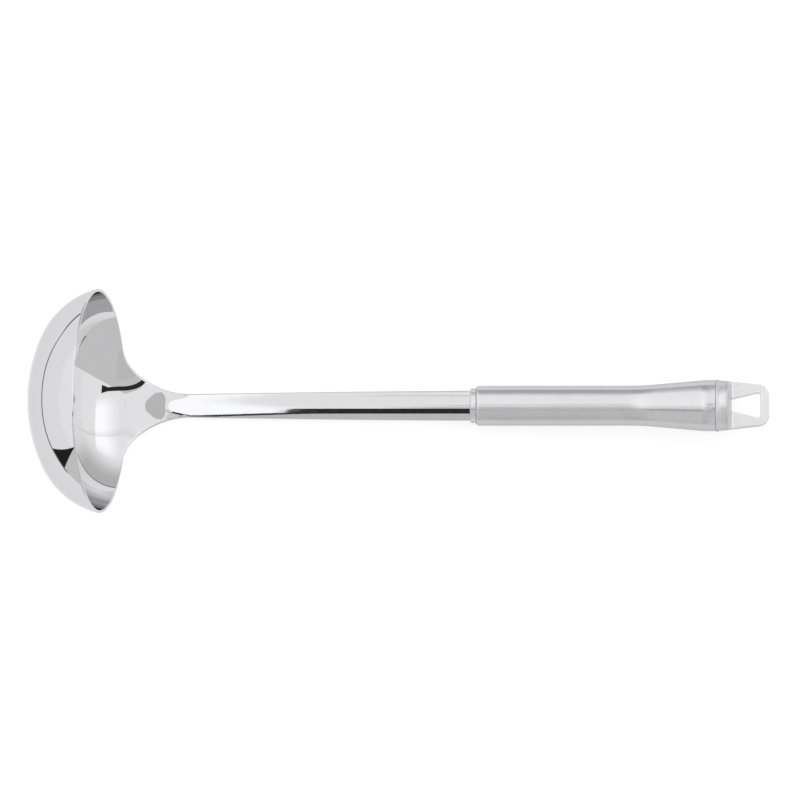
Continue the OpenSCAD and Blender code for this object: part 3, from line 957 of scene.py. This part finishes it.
def shaded_table(x, y):
    """Share of the table's light that the handle's soft shadow leaves, by place in metres."""
    beside = x.between(*HANDLE_SHADOW)
    near = beside * y.below(0, HANDLE_SHADOW_SOFT) * -NEAR_SHADOW
    return (near + 1) - beside * y.past(0, HANDLE_SHADOW_SOFT) * FAR_SHADOW


def glow(name, brightness, shade=None):
    """A material that shines, evenly or as the shade says."""
    material = bpy.data.materials.new(name)
    material.use_nodes = True
    tree = material.node_tree
    tree.nodes.clear()
    emission = tree.nodes.new("ShaderNodeEmission")
    emission.inputs["Color"].default_value = (brightness, brightness, brightness, 1)
    if shade:
        place = tree.nodes.new("ShaderNodeTexCoord")
        split = tree.nodes.new("ShaderNodeSeparateXYZ")
        tree.links.new(place.outputs["Object"], split.inputs[0])
        strength = shade(*(Field(tree, socket) for socket in split.outputs[:2]))
        tree.links.new(strength.socket, emission.inputs["Strength"])
    output = tree.nodes.new("ShaderNodeOutputMaterial")
    tree.links.new(emission.outputs[0], output.inputs["Surface"])
    return material


def make_floor():
    """The white floor, which the camera sees, and on which the ladle's soft shadow falls."""
    bpy.ops.mesh.primitive_plane_add(size=FLOOR_SIZE)
    floor = bpy.context.object
    floor.name = "floor"
    floor.visible_glossy = False
    material = bpy.data.materials.new("floor")
    material.use_nodes = True
    tree = material.node_tree
    shader = tree.nodes["Principled BSDF"]
    shader.inputs["Base Color"].default_value = (*[FLOOR_COLOR] * 3, 1)
    shader.inputs["Roughness"].default_value = 1
    shader.inputs["Specular IOR Level"].default_value = 0
    path = tree.nodes.new("ShaderNodeLightPath")
    seen = Field(tree, path.outputs["Is Camera Ray"]) * FLOOR_GLOW
    shader.inputs["Emission Color"].default_value = (1, 1, 1, 1)
    tree.links.new(seen.socket, shader.inputs["Emission Strength"])
    floor.data.materials.append(material)


def make_table():
    """The white table and its dark rim, which only the steel's reflections show."""
    (left, near), (right, far) = TABLE_BOX
    rings = []
    for inset in (0, TABLE_EDGE):
        corners = [(left + inset, near + inset), (right - inset, near + inset),
                   (right - inset, far - inset), (left + inset, far - inset)]
        rings.append(rounded(corners, [TABLE_CORNER_R - inset] * 4, closed=True))
    count = len(rings[0])
    points = [(x, y, TABLE_Z) for ring in rings for x, y in ring]
    faces = [(i, (i + 1) % count, count + (i + 1) % count, count + i) for i in range(count)]
    faces.append(tuple(range(count, 2 * count)))
    mesh = bpy.data.meshes.new("table")
    mesh.from_pydata(points, [], faces)
    mesh.materials.append(glow("table_edge", TABLE_EDGE_LIGHT))
    mesh.materials.append(glow("table", TABLE_LIGHT, shaded_table))
    # No dark rim along the near edge and the corner at its right end
    mesh.polygons[count].material_index = 1
    for polygon in mesh.polygons[FILLET_STEPS:2 * FILLET_STEPS + 1]:
        polygon.material_index = 1
    table = bpy.data.objects.new("table", mesh)
    bpy.context.scene.collection.objects.link(table)
    reflected_only(table)


def reflected_only(thing):
    """Makes a thing of the studio show in the steel's reflections alone."""
    thing.visible_camera = False
    thing.visible_diffuse = False
    thing.visible_shadow = False


def make_world():
    """The studio's light, and the white that the camera sees behind the floor."""
    world = bpy.data.worlds.new("world")
    bpy.context.scene.world = world
    world.use_nodes = True
    tree = world.node_tree
    background = tree.nodes["Background"]
    path = tree.nodes.new("ShaderNodeLightPath")
    light = studio_light(tree).toward(1, Field(tree, path.outputs["Is Camera Ray"]))
    background.inputs["Color"].default_value = (1, 1, 1, 1)
    tree.links.new(light.socket, background.inputs["Strength"])


make_camera()
make_world()
bpy.context.scene.view_settings.view_transform = "Standard"
make_floor()
make_table()

# The groove, step and nose carry painted shade with polishing residue in their crevices
on_tube = satin_turned(HANDLE_BLUR, [GROOVE_SHADE_AND_RESIDUE])
on_front = satin_turned(HANDLE_BLUR, [STEP_SHADE_AND_RESIDUE, NOSE_SHADE_AND_RESIDUE])
on_end = satin_turned(END_COLLAR_BLUR, [GROOVE_SHADE_AND_RESIDUE])
polished = finished("polished_steel", POLISHED_COLOR, POLISHED_EDGE, 1, mirror_polish)
satin = finished("satin_steel", SATIN_COLOR, SATIN_EDGE, 1, on_tube)
front_satin = finished("satin_steel_front", SATIN_COLOR, SATIN_EDGE, 1, on_front)
end_satin = finished("satin_steel_end", SATIN_COLOR, SATIN_EDGE, 1, on_end)
cast = finished("cast_steel", CAST_COLOR, POLISHED_EDGE, 1, satin_loop)
nylon = finished("bush_plastic", NYLON_COLOR, NYLON_EDGE, 0, moulded)

for piece, node, slot, material in (
    (mesh_of_grids("bowl_and_shank_skin", sheet_grids()), "bowl_and_shank", "polished_steel", polished),
    (make_front_collar(), "front_collar", "satin_steel", front_satin),
    (make_tube(), "handle_tube", "satin_steel", satin),
    (make_end_collar(), "end_collar", "satin_steel", end_satin),
    (make_loop(), "hanging_loop", "cast_steel", cast),
):
    piece.data.materials.clear()
    piece.data.materials.append(material)
    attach(piece, "root")
    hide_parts(node)

bush = frame["nodes"]["tang_bush"]
bush.material_slots[0].material = nylon
